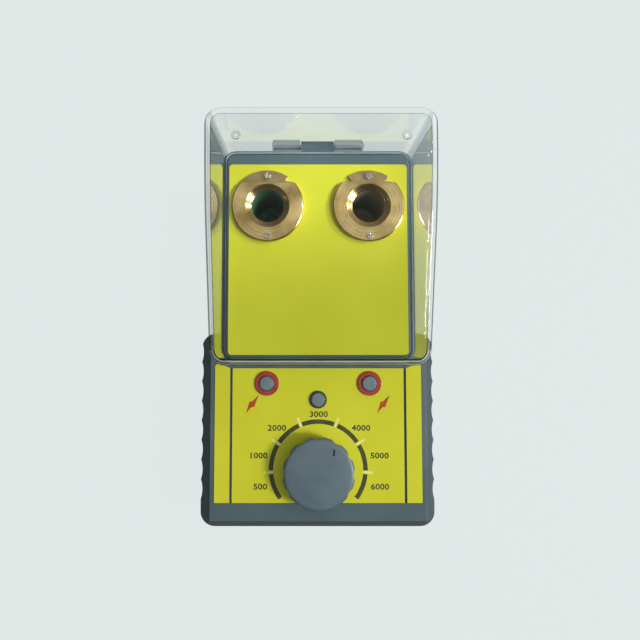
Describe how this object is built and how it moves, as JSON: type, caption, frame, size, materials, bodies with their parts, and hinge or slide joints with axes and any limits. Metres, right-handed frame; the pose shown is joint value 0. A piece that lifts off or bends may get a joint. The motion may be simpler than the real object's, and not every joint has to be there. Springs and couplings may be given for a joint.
{
  "type": "spark plug tester",
  "caption": "Bench spark plug tester: grey case with scalloped grips, yellow panels, brass plug sockets under a hinged clear cover, push buttons and a fluted speed knob.",
  "frame": {"origin": "on the table under the middle of the object's box, lying on its back", "axes": "+Z out of the control face, +Y towards the cover's hinge, +X to the right of someone at the knob"},
  "size_m": [0.1056, 0.1742, 0.1053],
  "materials": {
    "case_plastic": "fine moulded texture, blue grey",
    "knob_plastic": "satin moulded, grey",
    "label_yellow": "printed film, semi-gloss yellow",
    "turned_brass": "turned, concentric tool marks",
    "steel": "zinc plated",
    "insulator": "dark moulded resin",
    "clear_plastic": "clear moulded, polished",
    "red_plastic": "gloss moulded",
    "board": "solder resist",
    "lead_rubber": "silicone lead cover",
    "foot_rubber": "moulded rubber"
  },
  "bodies": {
    "case": {"bottom_shell": "case_plastic", "top_shell": "case_plastic", "socket_label": "label_yellow", "control_label": "label_yellow", "side_label_left": "label_yellow", "side_label_right": "label_yellow", "plug_ring_left": "turned_brass", "plug_ring_right": "turned_brass", "ring_screws": "steel", "socket_tube_left": "insulator", "socket_tube_right": "insulator", "contact_terminal_left": "turned_brass", "contact_terminal_right": "turned_brass", "contact_spring_left": "steel", "contact_spring_right": "steel", "hinge_pin": "steel", "pot_body": "steel", "pot_nut": "steel", "hv_bezel_left": "red_plastic", "hv_bezel_right": "red_plastic", "power_bezel": "insulator", "push_switches": "insulator", "control_board": "board", "board_screws": "steel", "coil_block": "insulator", "coil_screws": "steel", "hv_lead_left": "lead_rubber", "hv_lead_right": "lead_rubber", "case_screws": "steel", "rubber_feet": "foot_rubber", "cord_bush": "foot_rubber"},
    "cover": {"clear_cover": "clear_plastic"},
    "dial": {"knob": "knob_plastic", "pot_shaft": "steel"},
    "hv_left": {"hv_button_left": "knob_plastic", "hv_plunger_left": "steel"},
    "hv_right": {"hv_button_right": "knob_plastic", "hv_plunger_right": "steel"},
    "power": {"power_button": "knob_plastic", "power_plunger": "steel"}
  },
  "joints": [
    {"name": "cover_hinge", "type": "hinge", "parent": "case", "child": "cover", "pos_m": [0, 0.0843, 0.0382], "axis": [-1, 0, 0], "range_deg": [0, 110]},
    {"name": "knob_turn", "type": "hinge", "parent": "case", "child": "dial", "pos_m": [0, -0.0592, 0.045], "axis": [0, 0, 1], "range_deg": [-92, 161]},
    {"name": "hv_left_press", "type": "slide", "parent": "case", "child": "hv_left", "axis": [0, 0, -1], "range_m": [0, 0.0012], "stiffness_N_per_m": 900, "springref_m": -0.0008},
    {"name": "hv_right_press", "type": "slide", "parent": "case", "child": "hv_right", "axis": [0, 0, -1], "range_m": [0, 0.0012], "stiffness_N_per_m": 900, "springref_m": -0.0008},
    {"name": "power_press", "type": "slide", "parent": "case", "child": "power", "axis": [0, 0, -1], "range_m": [0, 0.0012], "stiffness_N_per_m": 900, "springref_m": -0.0008}
  ]
}
